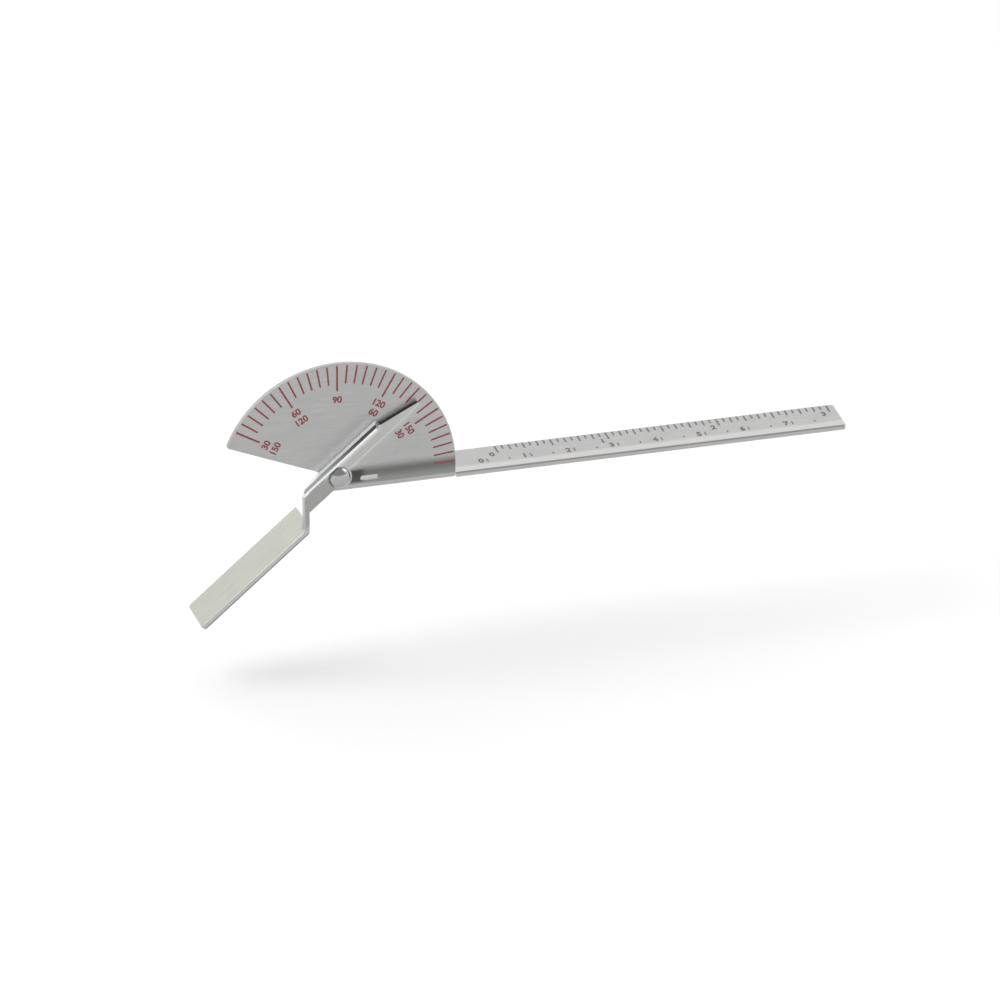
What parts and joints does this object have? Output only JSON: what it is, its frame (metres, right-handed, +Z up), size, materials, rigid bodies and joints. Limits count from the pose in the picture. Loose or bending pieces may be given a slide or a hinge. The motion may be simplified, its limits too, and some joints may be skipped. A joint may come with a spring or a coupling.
{
  "type": "finger goniometer",
  "caption": "Small sheet-metal finger goniometer: a graduated protractor plate folded into a flat ruler arm, and a pivoting finger arm with foot and pointer on one rivet.",
  "frame": {"origin": "on the ruler's resting (lower) face, on the ruler's centre line, straight under the pivot axis; the pivot axis is parallel to Y at x = 0, z = 4.55 mm", "axes": "+X along the ruler, away from the finger joint; +Y across the ruler, from the dial's front towards its back; +Z up, along the dial's 90 degree mark, out of the ruler's upper face"},
  "size_m": [0.1489, 0.015, 0.0596],
  "materials": {
    "satin_steel": "satin-brushed stainless steel with polished edges",
    "bright_steel": "fine-brushed stainless steel with bright bends",
    "rivet_steel": "polished stainless steel",
    "washer_nylon": "natural nylon, matte",
    "washer_steel": "plain stainless steel"
  },
  "bodies": {
    "protractor": {"protractor_arm": "satin_steel", "pivot_rivet": "rivet_steel", "friction_washer": "washer_nylon", "spring_washer": "washer_steel", "backing_washer": "washer_steel"},
    "finger": {"finger_arm": "bright_steel"}
  },
  "joints": [
    {"name": "flexion", "type": "hinge", "parent": "protractor", "child": "finger", "pos_m": [0, -0.0064, 0.00455], "axis": [0, -1, 0], "range_deg": [-65.5, 99.5]}
  ]
}
